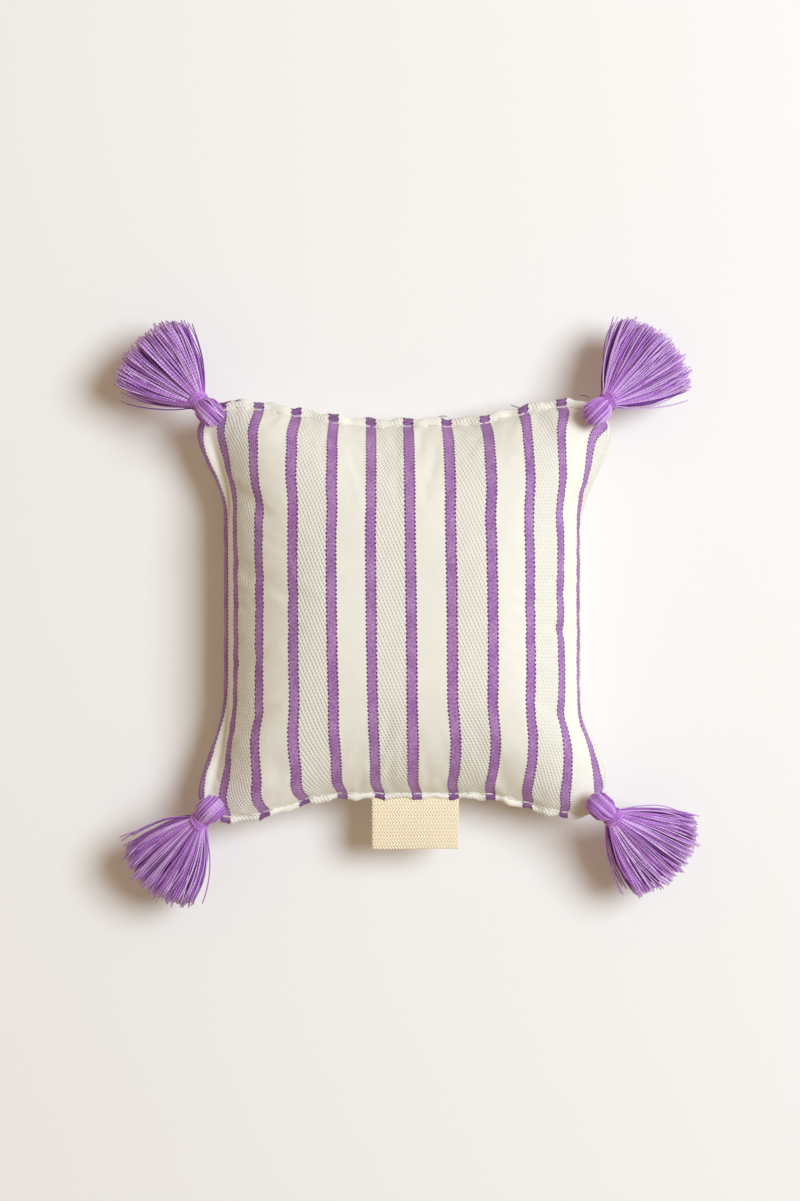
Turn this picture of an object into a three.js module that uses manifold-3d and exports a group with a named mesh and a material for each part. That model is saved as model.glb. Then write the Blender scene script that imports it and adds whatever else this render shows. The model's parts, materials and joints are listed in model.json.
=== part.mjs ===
// A lavender sachet: a small striped cushion that lies on its back panel, with a stitched hem
// at its top and bottom, a folded tape label in the bottom hem and a tassel at each corner.
// Millimetres, +X right, +Y towards the top hem, +Z up. The origin is the middle of the flat
// on the underside that the sachet rests on.

import * as THREE from 'three'
import { mergeVertices } from 'three/addons/utils/BufferGeometryUtils.js'
import Module from 'manifold-3d'

const wasm = await Module()
wasm.setup()

// Gaps
const clearance = 0.3
const overrun = 5

// Cushion, seen from above
const waistHalfWidth = 45
const cornerHalfWidth = 51.4
const waistHalfHeight = 48
const cornerHalfHeight = 53.4
const cornerDrawIn = 3
const sideBendShares = { from: 0.3, to: 0.9 }
const hemBendShares = { from: 0.15, to: 0.88 }

// Cushion, seen from the side. Heights are measured from the seam plane
const frontHeight = 17
const backHeight = 14.5
const restFlatDepth = 0.5
const fabricThickness = 0.6
const hemThickness = 1.1
const hemDepth = 2.6
const seamGap = 0.3
const fillClearance = 0.6
const fillSeamClearance = 0.9

// Powers of the curves: a higher one is flatter in the middle and rounder at the edge
const crownPower = 3
const hemEndPower = 24
const cornerPower = 14
const cornerThinPower = 4
const cornerThinShare = 0.8

// Stitching
const hemThreadRadius = 0.22
const hemStitchLength = 3.6
const hemStitchInset = 1.8
const hemStitchRise = 0.25
const hemStitchEndInset = 8
const seamThreadRadius = 0.25
const seamThreadEndInset = 12

// Label, a tape folded double
const tapeThickness = 0.35
const tapeFoldGap = 0.15
const labelWidth = 21.8
const labelLength = 10.9
const labelTailLength = 4.5
const labelOffset = 3.3

// Tassel: a bundle of yarn folded over a thread loop and bound at the neck
const headRadius = 3.6
const headLength = 7.3
const headEndRadius = 2.8
const neckRadius = 1.7
const skirtLength = 18.9
const skirtThickness = 7.5
const skirtRootRise = 0.7
const skirtRootLength = 0.8
const skirtSag = 3.6
const skirtSpreadDegrees = 34
const tipLengthShare = 0.03
const skirtEndShare = 0.95
const ridgeShare = 0.05
const headRidgeShare = 0.025
const skirtRingShares = [0, 0.14, 0.32, 0.55, 0.78, 1]
const tasselDroopDegrees = 26
const tasselDirectionDegrees = { top_left: 134, top_right: 44, bottom_left: 228, bottom_right: 318.5 }

// Neck binding
const bindingTurnCount = 2.5
const bindingPitch = 0.86
const bindingThreadRadius = 0.21

// Thread loop that ties a tassel to its corner
const tieRadius = 0.3
const tieSideInset = 1.1
const tieHemInset = 2.7
const tiePinInset = 2.4
const tiePinDrop = 2.4
const tiePinHeight = 5.7
const tieLegDrop = 2.15
const tieLegShares = { drop: 0.8, reach: 0.6 }
const shankRadius = 0.35
const knotRadius = 0.9
const knotSeat = 1.3

// Counts
const panelCellCount = 18
const threadSideCount = 5
const seamThreadStepCount = 20
const bindingStepCount = 16
const yarnSideCount = 32
const roundSideCount = 16
const tieSideCount = 8
const legStepCount = 6
const elbowRingCount = 3
const knotRingCount = 4
const domeRingCount = 3
const foldSegmentCount = 6
const tipWaveShare = 0.382

const colours = {
  fabric: { color: 0xece5d6, roughness: 0.9, metalness: 0 },
  thread: { color: 0xf3ecdc, roughness: 0.8, metalness: 0 },
  tape: { color: 0xeddab9, roughness: 0.85, metalness: 0 },
  yarn: { color: 0xa97fc6, roughness: 0.75, metalness: 0 },
  lavender: { color: 0x6f6384, roughness: 1, metalness: 0 },
}

// Shared places
const halfGap = seamGap / 2
const seamZ = backHeight - restFlatDepth
const up = new THREE.Vector3(0, 0, 1)

function smoothStep(share, { from, to }) {
  const t = Math.min(Math.max((share - from) / (to - from), 0), 1)
  return t * t * (3 - 2 * t)
}

function sideHalfWidth(alongShare) {
  const spread = cornerHalfWidth - waistHalfWidth
  return waistHalfWidth + spread * smoothStep(Math.abs(alongShare), sideBendShares)
}

function hemHalfHeight(acrossShare) {
  const spread = cornerHalfHeight - waistHalfHeight
  return waistHalfHeight + spread * smoothStep(Math.abs(acrossShare), hemBendShares)
}

// A point of the outline's inside. Both shares run from -1 to 1, from side to side and hem to hem
function planPoint(across, along, sideInset, hemInset) {
  const halfWidth = sideHalfWidth(along) - sideInset
  const halfHeight = hemHalfHeight(across) - hemInset
  const pull = cornerDrawIn * Math.abs(across * along) ** cornerPower
  const x = across * halfWidth - Math.sign(across) * pull
  const y = along * halfHeight - Math.sign(along) * pull
  return new THREE.Vector3(x, y, seamZ)
}

function crown(across, along) {
  const width = Math.max(1 - Math.abs(across) ** crownPower, 0)
  const height = Math.max(1 - Math.abs(along) ** crownPower, 0)
  const thinning = 1 - cornerThinShare * Math.abs(across * along) ** cornerThinPower
  return thinning * Math.sqrt(width * height)
}

function roundedHem(across) {
  return Math.sqrt(Math.max(1 - Math.abs(across) ** hemEndPower, 0))
}

// Shares from -1 to 1, closer together towards the ends
function sineShares(cells) {
  return Array.from({ length: cells + 1 }, (_, i) => Math.sin(Math.PI * (i / cells - 0.5)))
}

// A grid of points from hem to hem. hemInsets gives the inset of the hem's edge and of the rest
function cushionGrid(cells, sideInset, hemInsets, heightAt) {
  const columns = sineShares(cells)
  const inner = sineShares(cells).map((along) => ({ along, hemInset: hemInsets.rest }))
  const edge = { hemInset: hemInsets.edge }
  const rows = [{ ...edge, along: -1 }, ...inner, { ...edge, along: 1 }]
  return rows.map(({ along, hemInset }) => columns.map((across) => {
    const point = planPoint(across, along, sideInset, hemInset)
    point.z = heightAt(across, along)
    return point
  }))
}

// A closed surface gathered from grids and strips, whose shared points are merged at the end
class Skin {
  points = []
  faces = []

  face(a, b, c, flip) {
    const start = this.points.length
    this.points.push(a, b, c)
    this.faces.push(...(flip ? [start, start + 2, start + 1] : [start, start + 1, start + 2]))
  }

  quad(a, b, c, d, flip) {
    this.face(a, b, c, flip)
    this.face(a, c, d, flip)
  }

  grid(rows, flip) {
    for (let r = 0; r + 1 < rows.length; r++) {
      for (let c = 0; c + 1 < rows[r].length; c++) {
        this.quad(rows[r][c], rows[r][c + 1], rows[r + 1][c + 1], rows[r + 1][c], flip)
      }
    }
  }

  // Joins two closed loops of as many points
  band(first, second, flip) {
    first.forEach((point, i) => {
      const next = (i + 1) % first.length
      this.quad(point, first[next], second[next], second[i], flip)
    })
  }

  // Joins each loop to the next
  bands(loops) {
    for (let i = 0; i + 1 < loops.length; i++) this.band(loops[i], loops[i + 1], false)
  }

  fan(loop, tip, flip) {
    loop.forEach((point, i) => this.face(point, loop[(i + 1) % loop.length], tip, flip))
  }

  geometry() {
    const loose = new THREE.BufferGeometry().setFromPoints(this.points)
    loose.setIndex(this.faces)
    const joined = mergeVertices(loose)
    const index = Array.from(joined.index.array)
    const kept = []
    for (let i = 0; i < index.length; i += 3) {
      const [a, b, c] = index.slice(i, i + 3)
      if (a !== b && b !== c && c !== a) kept.push(a, b, c)
    }
    joined.setIndex(kept)
    return joined
  }
}

// The outer points of a grid in order round it, anticlockwise from above
function borderOf(rows) {
  const last = rows.length - 1
  const end = rows[0].length - 1
  const right = rows.slice(1, last).map((row) => row[end])
  const left = rows.slice(1, last).map((row) => row[0]).reverse()
  return [...rows[0], ...right, ...[...rows[last]].reverse(), ...left]
}

function solidOf(geometry) {
  const bare = new THREE.BufferGeometry()
  bare.setAttribute('position', geometry.attributes.position)
  if (geometry.index) bare.setIndex(geometry.index)
  const joined = mergeVertices(bare)
  const vertProperties = Float32Array.from(joined.attributes.position.array)
  const triVerts = Uint32Array.from(joined.index.array)
  return new wasm.Manifold(new wasm.Mesh({ numProp: 3, vertProperties, triVerts }))
}

function geometryOf(solid) {
  const { vertProperties, triVerts } = solid.getMesh()
  const geometry = new THREE.BufferGeometry()
  geometry.setAttribute('position', new THREE.BufferAttribute(vertProperties, 3))
  geometry.setIndex(new THREE.BufferAttribute(triVerts, 1))
  return geometry
}

function cut(geometry, tools) {
  const start = solidOf(geometry)
  return geometryOf(tools.reduce((solid, tool) => solid.subtract(solidOf(tool)), start))
}

function join(geometries) {
  const [first, ...rest] = geometries.map(solidOf)
  return geometryOf(rest.reduce((solid, other) => solid.add(other), first))
}

function meshOf(name, geometry, look) {
  const mesh = new THREE.Mesh(geometry, new THREE.MeshStandardMaterial(colours[look]))
  mesh.name = name
  mesh.material.flatShading = true
  return mesh
}

// A curve given by a function of its share, 0 to 1
class PathCurve extends THREE.Curve {
  constructor(pointAt) {
    super()
    this.pointAt = pointAt
  }

  getPoint(share, target = new THREE.Vector3()) {
    return target.copy(this.pointAt(share))
  }
}

function threadAlong(path, radius, steps, sides) {
  const section = new THREE.Shape()
  for (let i = 0; i < sides; i++) {
    const angle = (2 * Math.PI * i) / sides
    const point = new THREE.Vector2(Math.cos(angle), Math.sin(angle)).multiplyScalar(radius)
    if (i === 0) section.moveTo(point.x, point.y)
    else section.lineTo(point.x, point.y)
  }
  return new THREE.ExtrudeGeometry(section, { steps, extrudePath: path })
}

// The place of a tassel's shank, a little inside the corner's blunt tip
function shankPlace(directionX, directionY) {
  const tip = planPoint(directionX, directionY, 0, 0)
  const inset = new THREE.Vector3(directionX * tieSideInset, directionY * tieHemInset, 0)
  return tip.sub(inset)
}

const corners = [
  { name: 'top_left', shank: shankPlace(-1, 1) },
  { name: 'top_right', shank: shankPlace(1, 1) },
  { name: 'bottom_left', shank: shankPlace(-1, -1) },
  { name: 'bottom_right', shank: shankPlace(1, -1) },
]

function shankHoles() {
  return corners.map(({ shank }) => {
    const radius = shankRadius + clearance
    const hole = new THREE.CylinderGeometry(radius, radius, frontHeight + backHeight, roundSideCount)
    return hole.rotateX(Math.PI / 2).translate(shank.x, shank.y, seamZ)
  })
}

// Label sizes that the hem's pocket follows
const labelHalfThickness = tapeThickness + tapeFoldGap / 2
const labelFarShare = (labelOffset + labelWidth / 2) / cornerHalfWidth
const labelHemY = -hemHalfHeight(labelFarShare)
const labelHingeY = labelHemY - labelHalfThickness - clearance

// The room that the label's tail takes between the two hems
function labelPocket() {
  const width = labelWidth + 2 * clearance
  const length = labelTailLength + clearance + overrun
  const pocket = new THREE.BoxGeometry(width, length, 2 * (labelHalfThickness + clearance))
  return pocket.translate(labelOffset, labelHemY - overrun + length / 2, seamZ)
}

// One side of the cover. side is 1 for the front panel and -1 for the back panel
function panelGeometry(side, rise) {
  const outerRise = rise - halfGap - hemThickness
  const innerRise = rise - halfGap - fabricThickness
  const flatten = (z, floor) => Math.max(z, floor)
  const outerHeight = (across, along) => {
    const height = halfGap + hemThickness * roundedHem(across) + outerRise * crown(across, along)
    return flatten(seamZ + side * height, 0)
  }
  const innerHeight = (across, along) => {
    const height = halfGap + innerRise * crown(across, along)
    return flatten(seamZ + side * height, fabricThickness)
  }
  const hemRows = { edge: 0, rest: hemDepth }
  const liningRows = { edge: hemDepth, rest: hemDepth }
  const outer = cushionGrid(panelCellCount, 0, hemRows, outerHeight)
  const inner = cushionGrid(panelCellCount, fabricThickness, liningRows, innerHeight)
  const outerBorder = borderOf(outer)
  const foot = outerBorder.map((point) => point.clone().setZ(seamZ + side * halfGap))
  const skin = new Skin()
  const flip = side < 0
  skin.grid(outer, flip)
  skin.grid(inner, !flip)
  skin.band(foot, outerBorder, flip)
  skin.band(borderOf(inner), foot, flip)
  return cut(skin.geometry(), [...shankHoles(), labelPocket()])
}

// The loose dried flowers, which fill the cover and clear its seam threads
function fillGeometry() {
  const sideInset = fabricThickness + fillSeamClearance + 2 * seamThreadRadius
  const hemInset = hemDepth + fillClearance
  const innerRise = (rise) => rise - fabricThickness - fillClearance
  const floor = fabricThickness + fillClearance
  const top = (across, along) => seamZ + innerRise(frontHeight) * crown(across, along)
  const bottom = (across, along) => {
    return Math.max(seamZ - innerRise(backHeight) * crown(across, along), floor)
  }
  const rows = { edge: hemInset, rest: hemInset }
  const skin = new Skin()
  skin.grid(cushionGrid(panelCellCount, sideInset, rows, top), false)
  skin.grid(cushionGrid(panelCellCount, sideInset, rows, bottom), true)
  return cut(skin.geometry(), [labelPocket()])
}

// A line of hem stitches, whose thread rises over the cloth once a stitch
function hemThread(name, hemSide, faceSide) {
  const endShare = 1 - hemStitchEndInset / cornerHalfWidth
  const length = 2 * endShare * cornerHalfWidth
  const stitches = Math.round(length / hemStitchLength)
  const seat = halfGap + hemThickness + clearance + hemThreadRadius
  const path = new PathCurve((share) => {
    const across = endShare * (2 * share - 1)
    const wave = (1 - Math.cos(2 * Math.PI * stitches * share)) / 2
    const point = planPoint(across, hemSide, 0, hemStitchInset)
    point.z += faceSide * (seat + hemStitchRise * wave)
    return point
  })
  const thread = threadAlong(path, hemThreadRadius, 2 * stitches, threadSideCount)
  return meshOf(name, thread, 'thread')
}

// The thread of a side seam, inside the cover where the panels meet
function seamThread(name, side) {
  const endShare = 1 - seamThreadEndInset / cornerHalfHeight
  const inset = fabricThickness + clearance + seamThreadRadius
  const path = new PathCurve((share) => planPoint(side, endShare * (2 * share - 1), inset, hemDepth))
  const thread = threadAlong(path, seamThreadRadius, seamThreadStepCount, threadSideCount)
  return meshOf(name, thread, 'thread')
}

// Turns a shape drawn with Y across and Z up, and extruded along its own Z, to run along X
const across = new THREE.Vector3(1, 0, 0)
const alongX = new THREE.Matrix4().makeBasis(new THREE.Vector3(0, 1, 0), up, across)

function extrudeAlongX(shape, width) {
  const options = { depth: width, bevelEnabled: false, curveSegments: foldSegmentCount }
  const geometry = new THREE.ExtrudeGeometry(shape, options)
  return geometry.translate(0, 0, -width / 2).applyMatrix4(alongX)
}

// The part of the label that shows: the tape runs out, folds back and returns
function labelFlap() {
  const foldCentre = labelHalfThickness - labelLength
  const shape = new THREE.Shape()
  shape.moveTo(0, tapeFoldGap / 2)
  shape.lineTo(0, labelHalfThickness)
  shape.lineTo(foldCentre, labelHalfThickness)
  shape.absarc(foldCentre, 0, labelHalfThickness, Math.PI / 2, 1.5 * Math.PI, false)
  shape.lineTo(0, -labelHalfThickness)
  shape.lineTo(0, -tapeFoldGap / 2)
  shape.lineTo(foldCentre, -tapeFoldGap / 2)
  shape.absarc(foldCentre, 0, tapeFoldGap / 2, 1.5 * Math.PI, Math.PI / 2, true)
  const mesh = meshOf('label_flap', extrudeAlongX(shape, labelWidth), 'tape')
  mesh.position.set(labelOffset, labelHingeY, seamZ)
  return mesh
}

// The label's ends, pressed together between the two hems
function labelTail() {
  const shape = new THREE.Shape()
  shape.moveTo(0, -labelHalfThickness)
  shape.lineTo(labelTailLength, -labelHalfThickness)
  shape.lineTo(labelTailLength, labelHalfThickness)
  shape.lineTo(0, labelHalfThickness)
  const mesh = meshOf('label_tail', extrudeAlongX(shape, labelWidth), 'tape')
  mesh.position.set(labelOffset, labelHemY, seamZ)
  return mesh
}

// Tassel pieces are drawn with +X out along the tassel, +Z up and the loop's pin at the origin
const neckLength = bindingTurnCount * bindingPitch + 2 * bindingThreadRadius + 2 * clearance
const neckStart = headLength - tiePinInset
const skirtStart = neckStart + neckLength

function roundRing(x, radius, ridge) {
  return Array.from({ length: yarnSideCount }, (_, i) => {
    const angle = (2 * Math.PI * i) / yarnSideCount
    const reach = radius * (1 + ridge * (i % 2 ? 1 : -1))
    return new THREE.Vector3(x, reach * Math.cos(angle), tiePinDrop + reach * Math.sin(angle))
  })
}

// A ring of the skirt, at a share of the way along its strands
function skirtRing(share) {
  const spread = THREE.MathUtils.degToRad(skirtSpreadDegrees)
  const lift = Math.asin(skirtThickness / 2 / skirtLength)
  const rootRadius = neckRadius + skirtRootRise
  return Array.from({ length: yarnSideCount }, (_, i) => {
    const angle = (2 * Math.PI * i) / yarnSideCount
    const ridge = 1 + ridgeShare * (i % 2 ? 1 : -1)
    const sideways = spread * Math.cos(angle) * ridge
    const upwards = lift * Math.sin(angle) * ridge
    const raggedness = Math.sin(2 * Math.PI * tipWaveShare * i) + (i % 2 ? 1 : -1)
    const run = skirtLength * (1 + tipLengthShare * raggedness) * share
    return new THREE.Vector3(
      skirtStart + skirtRootLength + run * Math.cos(sideways) * Math.cos(upwards),
      rootRadius * Math.cos(angle) + run * Math.sin(sideways),
      tiePinDrop + rootRadius * Math.sin(angle) + run * Math.sin(upwards) - skirtSag * share * share,
    )
  })
}

// The yarn bundle: a domed head, a bound neck and a fanned skirt, with a hole for the loop's pin
function tasselYarn() {
  const domeX = headRadius - tiePinInset
  const dome = Array.from({ length: domeRingCount }, (_, i) => {
    const angle = (Math.PI / 2) * ((i + 1) / (domeRingCount + 1))
    const x = domeX - headRadius * Math.cos(angle)
    return roundRing(x, headRadius * Math.sin(angle), headRidgeShare)
  })
  const shoulderX = neckStart - clearance / 2
  const rings = [
    ...dome,
    roundRing((domeX + shoulderX) / 2, headRadius, headRidgeShare),
    roundRing(shoulderX, headEndRadius, headRidgeShare),
    roundRing(neckStart, neckRadius, 0),
    roundRing(skirtStart, neckRadius, 0),
    ...skirtRingShares.map(skirtRing),
  ]
  const skin = new Skin()
  skin.fan(rings[0], new THREE.Vector3(-tiePinInset, 0, tiePinDrop), true)
  skin.bands(rings)
  const middle = skirtStart + skirtRootLength + skirtLength * skirtEndShare
  skin.fan(rings.at(-1), new THREE.Vector3(middle, 0, tiePinDrop - skirtSag), false)
  const holeRadius = tieRadius + clearance
  const holeLength = 2 * headRadius + overrun
  const hole = new THREE.CylinderGeometry(holeRadius, holeRadius, holeLength, roundSideCount)
  return cut(skin.geometry(), [hole])
}

// The binding's thread winds round the neck, and each end runs straight on for its own diameter
function bindingPath() {
  const radius = neckRadius + clearance + bindingThreadRadius
  const start = neckStart + clearance + bindingThreadRadius
  const steps = bindingTurnCount * bindingStepCount
  const points = Array.from({ length: steps + 1 }, (_, i) => {
    const turn = i / bindingStepCount
    const angle = 2 * Math.PI * turn
    const x = start + bindingPitch * turn
    return new THREE.Vector3(x, radius * Math.cos(angle), tiePinDrop + radius * Math.sin(angle))
  })
  const straightOn = (from, to) => {
    const step = to.clone().sub(from).setLength(2 * bindingThreadRadius)
    return to.clone().add(step)
  }
  const first = straightOn(points[1], points[0])
  const last = straightOn(points[steps - 1], points[steps])
  return [first, ...points, last]
}

// The least distance between the surfaces of stretches of thread half a turn or more apart
function leastGap(points, radius) {
  let gap = Infinity
  for (let i = 0; i < points.length; i++) {
    for (let j = i + bindingStepCount / 2; j < points.length; j++) {
      gap = Math.min(gap, points[i].distanceTo(points[j]) - 2 * radius)
    }
  }
  return gap
}

const bindingPoints = bindingPath()
const bindingGap = leastGap(bindingPoints, bindingThreadRadius)
console.log(`Least gap between turns of a neck binding: ${bindingGap.toFixed(3)} mm`)

// A tube through given points, with rings square to the path's direction at each
function tasselBinding() {
  const rings = bindingPoints.map((point, i) => {
    const before = bindingPoints[Math.max(i - 1, 0)]
    const after = bindingPoints[Math.min(i + 1, bindingPoints.length - 1)]
    const forward = after.clone().sub(before).normalize()
    const outward = new THREE.Vector3(0, point.y, point.z - tiePinDrop)
    outward.addScaledVector(forward, -outward.dot(forward)).normalize()
    const beside = forward.clone().cross(outward)
    return Array.from({ length: threadSideCount }, (_, side) => {
      const angle = (2 * Math.PI * side) / threadSideCount
      const spoke = outward.clone().multiplyScalar(Math.cos(angle))
      spoke.addScaledVector(beside, Math.sin(angle))
      return point.clone().addScaledVector(spoke, bindingThreadRadius)
    })
  })
  const skin = new Skin()
  skin.fan(rings[0], bindingPoints[0], true)
  skin.bands(rings)
  skin.fan(rings.at(-1), bindingPoints.at(-1), false)
  return skin.geometry()
}

// The loop's pin crosses the head low down. Its legs meet under the head, on a shank that goes
// down through both panels to a knot on the underside
function tasselTie() {
  const besideHead = Math.sqrt(
    headRadius ** 2 - (headRadius - tiePinInset - tieRadius) ** 2 - (tiePinDrop - tieRadius) ** 2,
  )
  const legY = besideHead + clearance + tieRadius
  const pin = new THREE.CylinderGeometry(tieRadius, tieRadius, 2 * legY, tieSideCount)
  const legs = [-1, 1].map((side) => {
    const path = new THREE.CubicBezierCurve3(
      new THREE.Vector3(0, side * legY, 0),
      new THREE.Vector3(0, side * (legY + tieRadius), -tieLegDrop * tieLegShares.drop),
      new THREE.Vector3(0, side * legY * tieLegShares.reach, -tieLegDrop),
      new THREE.Vector3(0, 0, -tieLegDrop),
    )
    return threadAlong(path, tieRadius, legStepCount, tieSideCount)
  })
  const elbows = [-1, 1].map((side) => {
    return new THREE.SphereGeometry(tieRadius, tieSideCount, elbowRingCount).translate(0, side * legY, 0)
  })
  const knotZ = -tiePinHeight - halfGap - hemThickness - knotSeat - knotRadius
  const shankLength = -tieLegDrop - knotZ
  const shank = new THREE.CylinderGeometry(shankRadius, shankRadius, shankLength, tieSideCount)
  shank.rotateX(Math.PI / 2).translate(0, 0, knotZ + shankLength / 2)
  const knot = new THREE.SphereGeometry(knotRadius, tieSideCount, knotRingCount).translate(0, 0, knotZ)
  return join([pin, ...legs, ...elbows, shank, knot])
}

// A tassel: the tie turns about the shank, and the yarn and its binding tilt on the tie's pin
function tassel({ name, shank }) {
  const swivel = new THREE.Group()
  swivel.position.set(shank.x, shank.y, seamZ + tiePinHeight)
  swivel.rotation.z = THREE.MathUtils.degToRad(tasselDirectionDegrees[name])
  swivel.add(meshOf(`${name}_tassel_tie`, tasselTie(), 'yarn'))
  const tilt = new THREE.Group()
  tilt.rotation.y = THREE.MathUtils.degToRad(tasselDroopDegrees)
  tilt.add(meshOf(`${name}_tassel_yarn`, tasselYarn(), 'yarn'))
  tilt.add(meshOf(`${name}_tassel_binding`, tasselBinding(), 'yarn'))
  swivel.add(tilt)
  return swivel
}

const sachet = new THREE.Group()
sachet.add(
  meshOf('front_panel', panelGeometry(1, frontHeight), 'fabric'),
  meshOf('back_panel', panelGeometry(-1, backHeight), 'fabric'),
  meshOf('lavender_fill', fillGeometry(), 'lavender'),
  hemThread('top_hem_front_thread', 1, 1),
  hemThread('top_hem_back_thread', 1, -1),
  hemThread('bottom_hem_front_thread', -1, 1),
  hemThread('bottom_hem_back_thread', -1, -1),
  seamThread('left_seam_thread', -1),
  seamThread('right_seam_thread', 1),
  labelTail(),
  labelFlap(),
  ...corners.map(tassel),
)

export default sachet
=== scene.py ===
import json
from math import atan2, cos, degrees, pi, radians, sin, sqrt, tan

import bpy
import numpy as np
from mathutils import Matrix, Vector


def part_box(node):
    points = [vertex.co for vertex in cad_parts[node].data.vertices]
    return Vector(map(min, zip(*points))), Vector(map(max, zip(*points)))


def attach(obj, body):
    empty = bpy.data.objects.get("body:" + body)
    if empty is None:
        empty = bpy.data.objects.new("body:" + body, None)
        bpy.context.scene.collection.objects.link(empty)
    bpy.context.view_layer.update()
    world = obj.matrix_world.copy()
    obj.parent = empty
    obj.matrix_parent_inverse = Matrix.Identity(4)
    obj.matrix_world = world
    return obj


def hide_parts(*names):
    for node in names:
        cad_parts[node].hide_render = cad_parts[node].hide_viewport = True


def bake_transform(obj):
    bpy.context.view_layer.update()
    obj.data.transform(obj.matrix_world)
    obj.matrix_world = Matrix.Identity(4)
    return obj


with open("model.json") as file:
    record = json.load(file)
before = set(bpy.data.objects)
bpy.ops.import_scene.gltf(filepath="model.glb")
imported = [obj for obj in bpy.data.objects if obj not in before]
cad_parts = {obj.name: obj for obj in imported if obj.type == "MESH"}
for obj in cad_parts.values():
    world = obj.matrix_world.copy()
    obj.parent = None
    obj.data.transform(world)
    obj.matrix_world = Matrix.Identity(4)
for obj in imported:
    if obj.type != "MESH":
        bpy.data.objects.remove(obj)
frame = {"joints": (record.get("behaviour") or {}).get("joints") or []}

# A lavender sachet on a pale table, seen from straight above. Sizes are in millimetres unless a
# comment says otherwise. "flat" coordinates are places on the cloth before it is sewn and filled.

MM = 0.001
TURN = 2 * pi
UP = np.array([0, 0, 1.0])
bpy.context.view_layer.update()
rng = np.random.default_rng(11)


def box_mm(node):
    low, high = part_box(node)
    return np.array(low) / MM, np.array(high) / MM


FRONT_LOW, FRONT_HIGH = box_mm("front_panel")
BACK_LOW, BACK_HIGH = box_mm("back_panel")
SEAM_Z = (FRONT_LOW[2] + BACK_HIGH[2]) / 2
TOP_Z = FRONT_HIGH[2]

# The photograph's frame
PHOTO_SIZE = (800, 1201)
MM_PER_PIXEL = 0.25
ORIGIN_PIXEL = (402, 608.6)
CAMERA_HEIGHT = 750
SENSOR = 36

# Cushion outline, as in the CAD
WAIST_HALF_WIDTH = 45.0
CORNER_HALF_WIDTH = 51.4
WAIST_HALF_HEIGHT = 48.0
CORNER_DRAW_IN = 3.0
CORNER_POWER = 14
CROWN_POWER = 3
SECTION_POWER = 4

# Each half of a side: its rise to the corner, and between which shares of the way there it rises.
# The upper half comes first
LEFT_SIDE = ((7.1, 0.5, 0.93), (7.3, 0.42, 1.0))
RIGHT_SIDE = ((8.6, 0.42, 0.98), (6.6, 0.47, 0.88))

# Each half of a hem: its distance from the middle, its rise to the corner, and between which shares
# of the way to the corner it rises. The left half comes first
TOP_HEM = ((47.6, 5.2, 0.1, 0.9), (47.8, 5.0, 0.25, 0.85))
BOTTOM_HEM = ((47.85, 6.4, 0.28, 0.88), (47.85, 5.6, 0.38, 0.95))

# Cloth, flat
PANEL_LEFT = -54.0
PANEL_RIGHT = 55.5
STITCH_HALF_HEIGHT = 53.0
LIP_DEPTH = 2.3
BOTTOM_LIP_SHARE = 0.78
STRIPE_PITCH = 10.0
STRIPE_OFFSET = 2.2
STRIPE_HALF_WIDTH = 1.25
UV_SPAN = 120.0

# Side seams lie inside the outline, in the middle and near the corners. The left one shows
LEFT_SEAM_INSETS = (1.65, 4.3)
RIGHT_SEAM_INSETS = (0.2, 0.5)
LEFT_SEAM_DROP = 0.8
RIGHT_SEAM_DROP = 1.2
EDGE_STRIPE_SHOWS = 1.1
STRIPE_LEAN = (0.78, 0.62)
HEM_SPREAD = 1.9
BOTTOM_TUG = 1.2
# The corner, how far the gathers there pull the stripes to the right, and between which distances
# from the middle that sets in
CORNER_PULLS = ((-1, 1, -2.0, 5, 45), (-1, -1, -1.5, 5, 40), (1, -1, 0.7, 0, 14),
                (1, -1, -1.4, 18, 42), (1, 1, -3.2, 26, 52))
# Dents in the front: flat place, half sizes and depth
DENTS = ((37.5, 44.5, 2.0, 5.0, 0.9), (-33, -38, 3.0, 4.0, 0.5), (26, -42, 2.5, 5.0, 0.4))

STITCH_PITCH = 3.8
LABEL_FLAT_X = 3.7
LABEL_FLAT_REACH = (12.5, 18)
COLUMNS = 92
BODY_ROWS = 88
SIM_SCALE = 0.02
SIM_FRAMES = 26
SLACK = (0.015, 0.09)
MOST_MOVE = 3.5
MOST_SIDE_MOVE = 0.7


def smooth(value, start, end):
    t = np.clip((np.asarray(value, float) - start) / (end - start), 0, 1)
    return t * t * (3 - 2 * t)


def srgb(code):
    """The linear colour of a hex code."""
    parts = [int(code[i:i + 2], 16) / 255 for i in (0, 2, 4)]
    return [p / 12.92 if p <= 0.04045 else ((p + 0.055) / 1.055) ** 2.4 for p in parts]


# Shader graphs

class Field:
    """A number that varies over a surface. Sums and products of fields add Math nodes."""

    def __init__(self, graph, socket):
        self.graph = graph
        self.socket = socket

    def __add__(self, other):
        return self.graph.math("ADD", self, other)

    def __sub__(self, other):
        return self.graph.math("SUBTRACT", self, other)

    def __rsub__(self, other):
        return self.graph.math("SUBTRACT", other, self)

    def __mul__(self, other):
        return self.graph.math("MULTIPLY", self, other)

    def __truediv__(self, other):
        return self.graph.math("DIVIDE", self, other)

    def __abs__(self):
        return self.graph.math("ABSOLUTE", self)


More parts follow.
